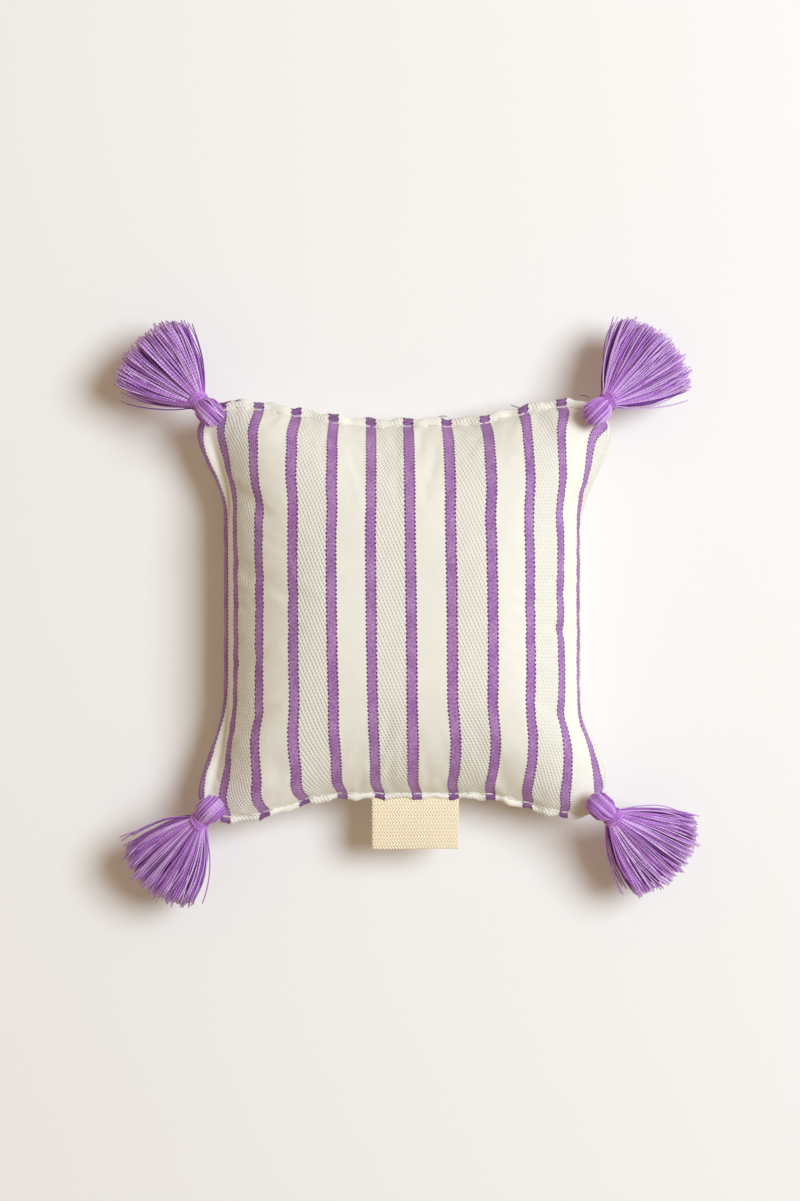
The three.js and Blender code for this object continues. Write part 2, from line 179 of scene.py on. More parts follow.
class Graph:
    """A material's nodes, with the shader's sockets set by name."""

    def __init__(self, name, **shader):
        self.material = bpy.data.materials.new(name)
        self.material.use_nodes = True
        self.tree = self.material.node_tree
        self.shader = self.tree.nodes["Principled BSDF"]
        for socket, value in shader.items():
            self.shader.inputs[socket.replace("_", " ")].default_value = value

    def node(self, kind, *inputs, **settings):
        made = self.tree.nodes.new("ShaderNode" + kind)
        for key, value in settings.items():
            setattr(made, key, value)
        for socket, value in zip(made.inputs, inputs):
            self.feed(socket, value)
        return made

    def feed(self, socket, value):
        if isinstance(value, Field):
            value = value.socket
        if isinstance(value, bpy.types.NodeSocket):
            self.tree.links.new(value, socket)
        else:
            socket.default_value = value

    def fields(self, made):
        return [Field(self, output) for output in made.outputs]

    def math(self, operation, *values):
        return self.fields(self.node("Math", *values, operation=operation))[0]

    def smooth(self, value, start, end):
        made = self.node("MapRange", value, start, end, interpolation_type="SMOOTHSTEP")
        return self.fields(made)[0]

    def wave(self, turns, shape="SINE"):
        return self.math(shape, turns * TURN)

    def mix(self, share, *colours):
        """A blend of two colours."""
        made = self.node("Mix", data_type="RGBA")
        self.feed(made.inputs[0], share)
        for socket, colour in zip(made.inputs[6:8], colours):
            self.feed(socket, (*colour, 1) if isinstance(colour, list) else colour)
        return made.outputs[2]

    def scale(self, colour, factor):
        """A colour times a number."""
        made = self.node("VectorMath", colour, operation="SCALE")
        self.feed(made.inputs["Scale"], factor)
        return made.outputs[0]

    def noise(self, vector, scale, detail=2, roughness=0.5):
        return self.fields(self.node("TexNoise", vector, 0, scale, detail, roughness))[0]

    def flat(self):
        """The flat place in millimetres, as a vector and its two parts."""
        place = self.node("UVMap", uv_map="flat").outputs[0]
        centred = self.node("VectorMath", place, (0.5, 0.5, 0), operation="SUBTRACT").outputs[0]
        vector = self.scale(centred, UV_SPAN)
        return vector, *self.fields(self.node("SeparateXYZ", vector))[:2]

    def thread(self):
        """The place on a thread: along it in millimetres, and round it in turns."""
        place = self.node("UVMap", uv_map="thread").outputs[0]
        return self.fields(self.node("SeparateXYZ", place))[:2]

    def stretched(self, u, v, u_scale, v_scale):
        return self.node("CombineXYZ", u * u_scale, v * v_scale).outputs[0]

    def finish(self, colour, height=None, depth_mm=0):
        """The material, with its colour and a bump of at most depth_mm."""
        self.feed(self.shader.inputs["Base Color"], colour)
        if height is not None:
            made = self.node("Bump")
            self.feed(made.inputs["Height"], height)
            self.feed(made.inputs["Distance"], depth_mm * MM)
            self.feed(self.shader.inputs["Normal"], made.outputs[0])
        return self.material


CREAM = srgb("efe9da")
# The cream's darker colour is painted shade, for the pits' hollows
CREAM_PAINTED_SHADE = srgb("d6cbb4")
STRIPE = srgb("b384b6")
STRIPE_DARK = srgb("9d6ba2")
PLUM = srgb("641c68")
STRIPE_WAVER = 0.12
STRIPE_BLUR = 0.05
EDGE_STITCH_PITCH = 1.05
EDGE_STITCH_INSET = 0.02
PIT_ROW = 0.8
PIT_PITCH = 0.95
PIT_ROW_SHIFT = 0.36
PIT_HALF_WIDTH = 0.27
PIT_HALF_HEIGHT = 0.42
RIB_PITCH = 0.42


def striped_cloth():
    """Cream cloth with purple stripes, by turns smooth and pitted between them."""
    g = Graph("striped cloth", Roughness=0.86, Specular_IOR_Level=0.25, Sheen_Weight=0.12,
              Sheen_Roughness=0.5)
    vector, u, v = g.flat()
    waver = (g.noise(vector, 1.4) - 0.5) * STRIPE_WAVER
    place = (u + waver - STRIPE_OFFSET) / STRIPE_PITCH
    away = abs(place - g.math("ROUND", place)) * STRIPE_PITCH
    stripe = 1 - g.smooth(away, STRIPE_HALF_WIDTH - STRIPE_BLUR, STRIPE_HALF_WIDTH + STRIPE_BLUR)

    # Dark stitches along both edges of a stripe
    beat = g.math("FRACT", v / EDGE_STITCH_PITCH)
    dash = g.smooth(beat, 0.04, 0.14) * (1 - g.smooth(beat, 0.5, 0.6))
    from_line = abs(away - (STRIPE_HALF_WIDTH - EDGE_STITCH_INSET))
    dots = dash * (1 - g.smooth(from_line, 0.17, 0.26))

    # Pits in slanting rows, in every other band
    odd_band = abs(g.math("MODULO", g.math("FLOOR", place), 2))
    row = v / PIT_ROW
    shift = g.math("FLOOR", row) * PIT_ROW_SHIFT
    across = abs(g.math("FRACT", u / PIT_PITCH + shift) - 0.5) / PIT_HALF_WIDTH
    along = abs(g.math("FRACT", row) - 0.5) / PIT_HALF_HEIGHT
    reach = g.math("POWER", across, 2) + g.math("POWER", along, 2)
    pit = (1 - g.smooth(reach, 0, 1.7)) * (odd_band * (1 - stripe))

    # Threads
    weft = g.noise(g.stretched(u, v, 0.5, 5), 1)
    warp = g.noise(g.stretched(u, v, 5.5, 0.35), 1)
    grain = g.noise(vector, 4.5, 3, 0.65)
    ribs = g.wave(v / RIB_PITCH)
    mottle = g.noise(vector, 0.16, 3)
    speckle = g.smooth(g.noise(vector, 2.2, 1), 0.36, 0.64)

    light = mottle * 0.1 + 0.95 + (warp - 0.5) * 0.07 + (grain - 0.5) * 0.1
    # Painted shade: the pits' hollows are painted darker, beside their bump
    cream = g.scale(g.mix(pit * 0.2, CREAM, CREAM_PAINTED_SHADE), light)
    purple = g.mix(g.smooth(mottle, 0.3, 0.7), STRIPE, STRIPE_DARK)
    purple = g.scale(purple, speckle * 0.54 + grain * 0.46 + 0.5)
    turned = g.smooth(abs(v), STITCH_HALF_HEIGHT + 0.1, STITCH_HALF_HEIGHT + 0.6)
    purple = g.scale(purple, 1 - turned * 0.35)
    height = weft * 0.22 - pit + warp * 0.25 + ribs * stripe * 0.08 + dots * 0.35
    return g.finish(g.mix(dots, g.mix(stripe, cream, purple), PLUM), height, 0.14)


def sewing_thread(name, colour):
    """Twisted thread, painted darker in the twist's grooves as painted shade."""
    g = Graph(name, Roughness=0.75, Specular_IOR_Level=0.3, Sheen_Weight=0.1)
    along, around = g.thread()
    # The twist is painted darker in its grooves: painted shade, beside its bump
    twist = g.wave(along * 2.2 + around * 2)
    return g.finish(g.scale(colour, twist * 0.1 + 0.93), twist, 0.03)


YARN_DEEP = srgb("8843aa")
YARN = srgb("cd88dd")
YARN_LIGHT = srgb("f1cdfb")
# The deepest violet is painted shade, for the yarn inside the tassels
YARN_PAINTED_SHADE = srgb("6a2f88")


def tassel_yarn():
    """Two-ply violet yarn. Each strand has its own shade, and in the skirts the inner strands'
    shades hold painted shade. The cut tips are lighter.
    """
    g = Graph("tassel yarn", Roughness=0.6, Specular_IOR_Level=0.15, Sheen_Weight=0.15,
              Sheen_Roughness=0.4)
    along, around = g.thread()
    strand = g.node("Attribute", attribute_name="strand").outputs[0]
    own, tip = g.fields(g.node("SeparateColor", strand))[:2]
    twist = g.wave(along * 1.1 + around)
    fibre = g.noise(g.stretched(along, around, 1.6, 9), 1)
    shade = g.mix(g.smooth(own, 0, 0.55), YARN_DEEP, YARN)
    shade = g.mix(g.smooth(own, 0.6, 1) * 0.85, shade, YARN_LIGHT)
    shade = g.mix(tip * 0.55, shade, YARN_LIGHT)
    # The twist is painted darker in its grooves: painted shade, beside its bump
    colour = g.scale(shade, fibre * 0.62 + twist * 0.16 + 0.66)
    return g.finish(colour, twist + fibre * 2, 0.03)


def painted_shade_yarn():
    """Deep violet painted shade for the yarn inside a bundle, streaked along it."""
    g = Graph("packed yarn", Roughness=0.8, Specular_IOR_Level=0.05)
    streak = g.noise(g.stretched(*g.thread(), 0.25, 40), 1)
    colour = g.scale(g.mix(streak, YARN_PAINTED_SHADE, YARN_DEEP), streak * 0.5 + 0.7)
    return g.finish(colour, streak, 0.2)


TAPE = srgb("fff1d2")
# The tape's darker colour is painted shade, for the twill's furrows
TAPE_PAINTED_SHADE = srgb("f2d1a3")
TWILL_ROW = 0.85
TWILL_PITCH = 0.76


def label_tape():
    """Beige tape in a herringbone twill, with painted shade in its furrows."""
    g = Graph("label tape", Roughness=0.88, Specular_IOR_Level=0.25, Sheen_Weight=0.1)
    vector, u, v = g.flat()
    leg = g.math("PINGPONG", v, TWILL_ROW) / TWILL_ROW
    rib = g.wave(u / TWILL_PITCH + leg)
    spine = g.wave(v / TWILL_ROW, "COSINE")
    # Painted shade: the twill's furrows are painted darker, beside their bump
    painted_furrow_shade = g.smooth(spine * 0.35 - rib, 0.1, 1.2)
    light = g.noise(vector, 3.5, 3, 0.6) * 0.16 + g.noise(vector, 0.5) * 0.1 + 0.92
    return g.finish(g.scale(g.mix(painted_furrow_shade, TAPE, TAPE_PAINTED_SHADE), light), rib - spine * 0.5, 0.07)


def dried_buds():
    """Dull violet and straw-coloured dried buds."""
    g = Graph("dried buds", Roughness=0.95)
    place = g.node("TexCoord").outputs["Object"]
    spots = g.smooth(g.noise(place, 500, 3), 0.4, 0.65)
    colour = g.mix(spots, srgb("5d5170"), srgb("8b7d6d"))
    return g.finish(colour, g.noise(place, 1500, 3), 0.3)


def pale_table():
    g = Graph("pale table", Roughness=0.9, Specular_IOR_Level=0.1)
    tint = g.noise(g.node("TexCoord").outputs["Object"], 3)
    return g.finish(g.mix(tint, srgb("f9f4ee"), srgb("f6f1ea")))


# Mesh helpers

TINY = 1e-9


def zipped(*parts):
    """Numbers or arrays side by side, on a new last axis."""
    return np.stack(np.broadcast_arrays(*parts), axis=-1)


def turned(angle, start, end):
    """The rotation that turns one axis towards another, by an angle in degrees."""
    made = np.eye(3)
    made[start, start] = made[end, end] = cos(radians(angle))
    made[end, start] = sin(radians(angle))
    made[start, end] = -made[end, start]
    return made


def linked(name, data):
    """A new object in the scene."""
    made = bpy.data.objects.new(name, data)
    bpy.context.collection.objects.link(made)
    return made


def mesh_object(name, points, faces, material, uvs=None, uv_name="flat"):
    """A smooth mesh from points in millimetres. uvs has a pair for each point or face corner."""
    mesh = bpy.data.meshes.new(name)
    mesh.from_pydata((np.asarray(points) * MM).tolist(), [], [list(map(int, f)) for f in faces])
    mesh.polygons.foreach_set("use_smooth", [True] * len(mesh.polygons))
    if uvs is not None:
        if len(uvs) == len(points):
            corners = np.empty(len(mesh.loops), int)
            mesh.loops.foreach_get("vertex_index", corners)
            uvs = uvs[corners]
        mesh.uv_layers.new(name=uv_name).data.foreach_set("uv", uvs.ravel())
    mesh.materials.append(material)
    return linked(name, mesh)


def grid_quads(index):
    """The faces of a grid, whose points have the numbers in index."""
    corners = index[:-1, :-1], index[1:, :-1], index[1:, 1:], index[:-1, 1:]
    return zipped(*corners).reshape(-1, 4)


def two_grids(columns, rows):
    """The points' numbers in a front and a back grid that share a border, and both grids' faces."""
    front = np.arange(columns * rows).reshape(columns, rows)
    back = front.copy()
    inner = np.arange((columns - 2) * (rows - 2)).reshape(columns - 2, rows - 2)
    back[1:-1, 1:-1] = front.size + inner
    return front, back, np.concatenate([grid_quads(front), grid_quads(back)[:, ::-1]])


def both_sheets(front_index, back_index, front, back):
    """One array of values for all the points. The front's values hold on the shared border."""
    merged = np.empty((back_index.max() + 1, front.shape[-1]))
    merged[back_index] = back
    merged[front_index] = front
    return merged


def tube_faces(count, steps, sides):
    """The faces of closed tubes. Their points run round, then along, then from tube to tube."""
    index = np.arange(count * steps * sides).reshape(count, steps, sides)
    around = np.roll(index, -1, axis=2)
    quads = zipped(index[:, :-1], around[:, :-1], around[:, 1:], index[:, 1:])
    return [*quads.reshape(-1, 4), *index[:, 0, ::-1], *index[:, -1]]


# A thread that starts more steeply than this has its ring drawn from the X axis
STEEP = 0.8
# Between which shares of its length a strand turns into its tip
TIP = (0.88, 1.0)


def tubes(name, paths, radius, sides, material, shades=None):
    """One mesh of round threads. paths is an array (threads, steps, 3). The UV map runs along each
    thread in millimetres and round it in turns. shades has a number for each thread."""
    paths = np.asarray(paths, float)
    count, steps = paths.shape[:2]
    forward = np.gradient(paths, axis=1)
    forward /= np.linalg.norm(forward, axis=2, keepdims=True) + TINY
    last = np.where(np.abs(forward[:, 0, 2:]) > STEEP, [1.0, 0, 0], UP)
    beside = np.empty_like(paths)
    for step in range(steps):
        last = last - forward[:, step] * np.sum(last * forward[:, step], axis=1, keepdims=True)
        last /= np.linalg.norm(last, axis=1, keepdims=True) + TINY
        beside[:, step] = last
    third = np.cross(forward, beside)
    angle = (np.arange(sides) * TURN / sides)[:, None]
    ring = beside[:, :, None] * np.cos(angle) + third[:, :, None] * np.sin(angle)
    points = paths[:, :, None] + ring * radius
    gaps = np.linalg.norm(np.diff(paths, axis=1, prepend=paths[:, :1]), axis=2)
    run = np.cumsum(gaps, axis=1)[:, :, None]
    uvs = zipped(run, np.arange(sides) / sides).reshape(-1, 2)
    faces = tube_faces(count, steps, sides)
    made = mesh_object(name, points.reshape(-1, 3), faces, material, uvs, "thread")
    if shades is not None:
        colours = np.ones((count, steps, sides, 4))
        colours[..., 0] = np.asarray(shades)[:, None, None]
        colours[..., 1] = smooth(np.linspace(0, 1, steps), *TIP)[None, :, None]
        layer = made.data.color_attributes.new("strand", "FLOAT_COLOR", "POINT")
        layer.data.foreach_set("color", colours.ravel())
    return made


def points_at(line, places, wanted):
    """Points on a line at the wanted places. The line's own points lie at places."""
    return zipped(*(np.interp(wanted, places, part) for part in line.T))


def run_along(path):
    """How far along a path in a plane each of its points lies."""
    return np.cumsum(np.hypot(*np.diff(path, axis=0, prepend=path[:1]).T))


def spread_evenly(path, shares):
    """Points at shares of a path's length."""
    run = run_along(path)
    return points_at(path, run, shares * run[-1])


# The cushion's grid: rows run from the bottom hem's edge to the top hem's edge

LIPS = [LIP_DEPTH * share for share in (1, 0.72, 0.4, 0.15)]
LIP_THICKNESS = [0.0, 0.72, 0.9, 0.75]
STITCH_THICKNESS = 0.6
BODY = np.linspace(-STITCH_HALF_HEIGHT, STITCH_HALF_HEIGHT, BODY_ROWS + 1)
FLAT_U = np.linspace(PANEL_LEFT, PANEL_RIGHT, COLUMNS + 1)
FLAT_V = np.concatenate([[-STITCH_HALF_HEIGHT - lip for lip in LIPS], BODY,
                         [STITCH_HALF_HEIGHT + lip for lip in LIPS[::-1]]])
ACROSS = (FLAT_U - (PANEL_LEFT + PANEL_RIGHT) / 2) / ((PANEL_RIGHT - PANEL_LEFT) / 2)
ROWS = len(FLAT_V) - 1
STITCH_ROWS = (len(LIPS), ROWS - len(LIPS))
AWAY_FROM_LABEL = smooth(np.abs(FLAT_U - LABEL_FLAT_X), *LABEL_FLAT_REACH)


def side_reach(b, halves):
    """How far from the middle a side's outline lies at a height share b."""
    rise, *bends = halves[0] if b > 0 else halves[1]
    rise *= smooth(abs(b), *bends)
    return WAIST_HALF_WIDTH + rise - CORNER_DRAW_IN * abs(b) ** CORNER_POWER


def hem_reach(x, halves):
    """How far from the middle a hem's outer edge lies at x."""
    share = np.abs(x) / CORNER_HALF_WIDTH
    reach = [waist + rise * smooth(share, *bends) for waist, rise, *bends in halves]
    return np.where(x < 0, *reach)


def crown(share):
    """The height of the form, as a share of its height in the middle."""
    return np.maximum(1 - np.abs(share) ** CROWN_POWER, 0) ** 0.5


# Between which height shares the side seams go from their middle to their corner inset
SEAM_TURNS_IN = (0.4, 0.85)
RIGHT_SEAM_POWER = 4
# Towards the corners the front stays low near the seams
LOW_POWER = (0.5, 0.6)
LOW_FROM = (0.6, 1)
# The back's roll outside a seam: its turn in degrees, how many half widths it spans, its height
# beside the seam and how that grows with its width
ROLL_TURN = 150
ROLL_SPAN = 1.866
ROLL_HEIGHT = 0.45
ROLL_SLOPE = 0.42
UNDERSIDE_Z = 0.3
UNDERSIDE_POWER = 2 / 2.7


def front_half(b, seam):
    """The front's cut from a seam to the middle: x and z."""
    t = np.cos(np.linspace(0, pi / 2, 121))
    power = LOW_POWER[0] + LOW_POWER[1] * smooth(abs(b), *LOW_FROM)
    z = seam[1] * t ** 2 + SEAM_Z * (1 - t ** 2)
    z = z + (TOP_Z - z) * crown(b) * np.maximum(1 - t ** SECTION_POWER, 0) ** power
    return zipped(seam[0] * t, z)


def back_half(b, seam, inset, outline):
    """The back's cut from a seam round the roll outside it and under to the middle: x and z."""
    outwards = np.sign(seam[0])
    angle = np.linspace(radians(ROLL_TURN), 0, 24)
    width = inset / ROLL_SPAN
    height = ROLL_HEIGHT + ROLL_SLOPE * inset * (1 - abs(b) ** CORNER_POWER)
    roll_z = seam[1] - height / 2
    roll_x = outwards * (outline - width + width * np.cos(angle))
    roll = zipped(roll_x, roll_z + height * np.sin(angle))
    angle = np.linspace(0, pi / 2, 100)[1:]
    x = outwards * outline * np.cos(angle) ** UNDERSIDE_POWER
    z = roll_z - (roll_z - UNDERSIDE_Z) * crown(b) * np.sin(angle) ** UNDERSIDE_POWER
    path = np.concatenate([roll, zipped(x, z)])
    path[-1, 0] = 0
    return path


def section(b, side):
    """The cut through a panel at a height share b: x and z from the left seam to the right one."""
    outlines = side_reach(b, LEFT_SIDE), side_reach(b, RIGHT_SIDE)
    inside = 1 - abs(b) ** CORNER_POWER
    near_corner = smooth(abs(b), *SEAM_TURNS_IN)
    insets = [(middle + (corner - middle) * near_corner) * inside
              for middle, corner in (LEFT_SEAM_INSETS, RIGHT_SEAM_INSETS)]
    seams = ((insets[0] - outlines[0], SEAM_Z - LEFT_SEAM_DROP * inside),
             (outlines[1] - insets[1], SEAM_Z - RIGHT_SEAM_DROP * (1 - b ** RIGHT_SEAM_POWER)))
    if side > 0:
        left, right = (front_half(b, seam) for seam in seams)
    else:
        left, right = (back_half(b, *half) for half in zip(seams, insets, outlines))
    leftward = spread_evenly(left[::-1], np.clip(-ACROSS, 0, 1))
    rightward = spread_evenly(right[::-1], np.clip(ACROSS, 0, 1))
    return np.where(ACROSS[:, None] < 0, leftward, rightward)


# The rows are spaced evenly at the sides, and a lower power brings that further in
SIDE_POWER = 5


def start_shape(side):
    """The cushion's shape before the simulation. side is 1 for the front and -1 for the back."""
    shares = np.linspace(-1, 1, 161)
    sections = np.stack([section(b, side) for b in shares], axis=1)
    straight = BODY / STITCH_HALF_HEIGHT
    ridge = zipped(shares * WAIST_HALF_HEIGHT, (TOP_Z - SEAM_Z) * crown(shares))
    along = spread_evenly(ridge, (straight + 1) / 2)[:, 0] / WAIST_HALF_HEIGHT
    near_side = np.abs(ACROSS)[:, None] ** SIDE_POWER
    b = straight * near_side + along * (1 - near_side)
    cuts = [points_at(cut, shares, column) for cut, column in zip(sections, b)]
    x, z = np.moveaxis(np.stack(cuts), -1, 0)
    hem_x = x[:, -1] * CORNER_HALF_WIDTH / np.abs(x[:, -1]).max()
    draw = CORNER_DRAW_IN * np.abs(ACROSS) ** CORNER_POWER
    top = hem_reach(hem_x, TOP_HEM) - draw - LIP_DEPTH
    bottom = hem_reach(hem_x, BOTTOM_HEM) - draw - LIP_DEPTH * BOTTOM_LIP_SHARE
    y = b * np.where(b > 0, top[:, None], bottom[:, None])
    body = zipped(x, y, z)
    bottom_lip = lip_rows(body[:, 0], side, -1)
    top_lip = lip_rows(body[:, -1], side, 1)
    return np.concatenate([bottom_lip, body, top_lip[:, ::-1]], axis=1)


# Waves of a gathered hem: size, rate and how many times the hem's phase is added
OUTWARD_WAVES = ((0.25, 0.71, 1), (0.17, 1.63, 2), (0.1, 2.9, 0))
UPWARD_WAVES = ((0.45, 0.47, 3), (0.3, 1.15, 1))
TOP_PHASE = 1.3
BOTTOM_PHASE = 4.1
WAVES_END_POWER = 10
# How much a lip is puffed by the label, and puffs between the stitches elsewhere
LABEL_PUFF = 0.35
STITCH_PUFF = 0.3
STITCH_PUFF_RATE = 0.53
LIP_END_POWER = 30
STITCH_ROW_FOLLOWS = 0.5


def pucker(end):
    """How far a gathered hem's stitches pull it out of line: outwards and upwards."""
    phase = TOP_PHASE if end > 0 else BOTTOM_PHASE
    out, rise = (sum(size * np.sin(FLAT_U * rate + times * phase) for size, rate, times in waves)
                 for waves in (OUTWARD_WAVES, UPWARD_WAVES))
    if end < 0:
        rise = rise * AWAY_FROM_LABEL
    fade = 1 - np.abs(FLAT_U / PANEL_RIGHT) ** WAVES_END_POWER
    return out * fade, rise * fade


def lip_rows(stitch_row, side, end):
    """A hem's lip, from its edge to just outside the stitches. The stitch row is bent in place."""
    out, rise = pucker(end)
    stitch_row[:, 1] += end * out * STITCH_ROW_FOLLOWS
    puffed = 1 - AWAY_FROM_LABEL if end < 0 else 0
    beat = np.cos((FLAT_U - PANEL_LEFT) * TURN / STITCH_PITCH)
    beat = STITCH_PUFF * (1 - puffed) * beat * np.sin(FLAT_U * STITCH_PUFF_RATE + end)
    puff = 1 + LABEL_PUFF * puffed + beat
    ends = 1 - np.abs(ACROSS) ** LIP_END_POWER
    depth_share = 1 if end > 0 else BOTTOM_LIP_SHARE
    rows = []
    for lip, thickness in zip(LIPS, LIP_THICKNESS):
        row = stitch_row.copy()
        row[:, 1] += end * (lip * depth_share + out * lip / LIP_DEPTH)
        row[:, 2] = SEAM_Z + rise + side * thickness * puff * ends
        rows.append(row)
    stitch_row[:, 2] = SEAM_Z + rise + side * STITCH_THICKNESS * ends
    return np.stack(rows, axis=1)


CLOTH = {"quality": 7, "mass": 0.3, "air_damping": 2.0, "tension_stiffness": 80,
         "compression_stiffness": 80, "shear_stiffness": 20, "bending_stiffness": 0.15,
         "use_pressure": True, "uniform_pressure_force": 4.0, "vertex_group_mass": "pins",
         "vertex_group_shrink": "gathers", "shrink_min": -SLACK[0], "shrink_max": -SLACK[1]}


def inflate(points, faces, pinned, slack):
    """Blows the sewn cloth up with Blender's Cloth. slack, 0 to 1, is larger where it gathers."""
    mesh = bpy.data.meshes.new("inflating")
    mesh.from_pydata((points * SIM_SCALE).tolist(), [], faces.tolist())
    made = linked("inflating", mesh)
    made.vertex_groups.new(name="pins").add(pinned, 1.0, "REPLACE")
    gathers = made.vertex_groups.new(name="gathers")
    for index, weight in enumerate(slack.tolist()):
        gathers.add([index], weight, "REPLACE")
    cloth = made.modifiers.new("Cloth", "CLOTH")
    for key, value in CLOTH.items():
        setattr(cloth.settings, key, value)
    cloth.settings.effector_weights.gravity = 0
    cloth.collision_settings.use_collision = False
    cloth.point_cache.frame_end = SIM_FRAMES
    scene = bpy.context.scene
    for number in range(1, SIM_FRAMES + 1):
        scene.frame_set(number)
    shown = made.evaluated_get(bpy.context.evaluated_depsgraph_get()).to_mesh()
    result = np.empty(len(points) * 3)
    shown.vertices.foreach_get("co", result)
    scene.frame_set(1)
    bpy.data.objects.remove(made)
    return result.reshape(-1, 3) / SIM_SCALE


# How much of the blown-up back is pressed flat
PRESSED_DEPTH = 0.6


def fit_heights(points):
    """Brings the blown-up form to the CAD's height and flattens it where it rests."""
    z = points[:, 2]
    front = z > SEAM_Z
    z[front] = SEAM_Z + (z[front] - SEAM_Z) * (TOP_Z - SEAM_Z) / (z.max() - SEAM_Z)
    depth = SEAM_Z + PRESSED_DEPTH
    z[~front] = SEAM_Z - (SEAM_Z - z[~front]) * depth / (SEAM_Z - z.min())
    points[:, 2] = np.maximum(z, 0.0)
    return points


# Between which flat places the stripes' lean sets in at the left and mostly ends at the right
LEAN_STARTS = (-50, -20)
LEAN_ENDS = (44, 52)
LEAN_END_SHARE = 0.7
HEM_SPREAD_FROM = (38, 52)
BOTTOM_TUG_FROM = (46, 53)
CORNER_PULL_STARTS = (18, 36)
CORNER_PULL_ENDS = (42, 52)


def front_shift(u, v):
    """How far the front panel's stripes are moved, so that they lean as the gathers pull them."""
    held = smooth(u, *LEAN_STARTS) * (1 - LEAN_END_SHARE * smooth(u, *LEAN_ENDS))
    lean = STRIPE_LEAN[0] - STRIPE_LEAN[1] * v / STITCH_HALF_HEIGHT
    spread = HEM_SPREAD * smooth(np.abs(v), *HEM_SPREAD_FROM) * u / PANEL_RIGHT
    right = held * lean + spread + BOTTOM_TUG * smooth(-v, *BOTTOM_TUG_FROM)
    for across, along, pull, near, far in CORNER_PULLS:
        starts = smooth(along * v, *CORNER_PULL_STARTS)
        near_hem = starts * (1 - smooth(along * v, *CORNER_PULL_ENDS))
        right = right + pull * smooth(across * u, near, far) * near_hem
    return -right


# The stripe at the left outline, counted from the middle one. Its shift is evened out over a
# few rows each way, and fades inwards
OUTLINE_STRIPE = -5
OUTLINE_COLUMNS = 12
SHIFT_BLUR = 4
SHIFT_FADE = 15


def back_shift(back, u, v):
    """How far the back panel's stripes are moved, so that one shows along the left outline."""
    wanted = STRIPE_OFFSET + OUTLINE_STRIPE * STRIPE_PITCH - STRIPE_HALF_WIDTH
    shifts = []
    for x in back[:OUTLINE_COLUMNS, :, 0].T:
        outline = int(np.argmin(x))
        inner = PANEL_LEFT
        if outline:
            shows = x[outline] + EDGE_STRIPE_SHOWS
            inner = np.interp(-shows, -x[:outline + 1], FLAT_U[:outline + 1])
        shifts.append(wanted - inner)
    width = 2 * SHIFT_BLUR + 1
    shifts = np.pad(shifts, SHIFT_BLUR, mode="edge")
    shifts = np.convolve(shifts, np.ones(width) / width, mode="valid")
    middle = shifts[ROWS // 2]
    return middle + (np.interp(v, FLAT_V, shifts) - middle) * np.exp(-(u - PANEL_LEFT) / SHIFT_FADE)


JITTER = 0.06
HEM_GATHER_REACH = 16
SIDE_GATHER = 0.6
SIDE_GATHER_REACH = 10
FREE_FROM_SIDE = (3, 20)


def cushion_cover():
    """The cover. Returns the grids of points of its front and its back."""
    front_index, back_index, faces = two_grids(COLUMNS + 1, ROWS + 1)
    points = both_sheets(front_index, back_index, start_shape(1), start_shape(-1))
    u, v = FLAT_U[:, None], FLAT_V
    flat = zipped(u, v)
    flat = both_sheets(front_index, back_index, flat, flat)
    hem_distance = STITCH_HALF_HEIGHT - np.abs(flat[:, 1])
    side_distance = np.minimum(flat[:, 0] - PANEL_LEFT, PANEL_RIGHT - flat[:, 0])
    pins = np.flatnonzero((hem_distance <= 0) | (side_distance == 0)).tolist()
    jitter = rng.normal(0, JITTER, points.shape)
    jitter[pins] = 0
    slack = np.maximum(1 - np.abs(hem_distance) / HEM_GATHER_REACH,
                       SIDE_GATHER * (1 - side_distance / SIDE_GATHER_REACH))
    blown = inflate(points + jitter, faces, pins, np.clip(slack, 0, 1))
    move = blown - points
    reach = np.linalg.norm(move, axis=1) + TINY
    freedom = smooth(side_distance, *FREE_FROM_SIDE)
    most = MOST_SIDE_MOVE + (MOST_MOVE - MOST_SIDE_MOVE) * freedom
    points = points + move * np.minimum(1, most / reach)[:, None]
    points = fit_heights(points)
    for at_u, at_v, half_u, half_v, depth in DENTS:
        dent = np.exp(-((u - at_u) / half_u) ** 2 - ((v - at_v) / half_v) ** 2)
        points[front_index, 2] -= depth * dent
    pattern = flat[faces]
    on_front, on_back = np.split(pattern, 2)
    on_front[..., 0] += front_shift(*np.moveaxis(on_front, -1, 0))
    on_back[..., 0] += back_shift(points[back_index], *np.moveaxis(on_back, -1, 0))
    uvs = pattern.reshape(-1, 2) / UV_SPAN + 0.5
    cover = mesh_object("cushion_cover", points, faces, striped_cloth(), uvs)
    finer = cover.modifiers.new("Subdivision", "SUBSURF")
    finer.levels = finer.render_levels = 1
    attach(cover, "cushion")
    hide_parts("front_panel", "back_panel")
    return points[front_index], points[back_index]


FILL_COLUMN_INSET = 8
FILL_ROW_INSET = 2
FILL_CLEARANCE = 2.6
FILL_LEAST_SHARE = 0.05
FILL_WIDTH_SHARE = 0.985
FILL_LUMPS = (-0.35, 0.1)


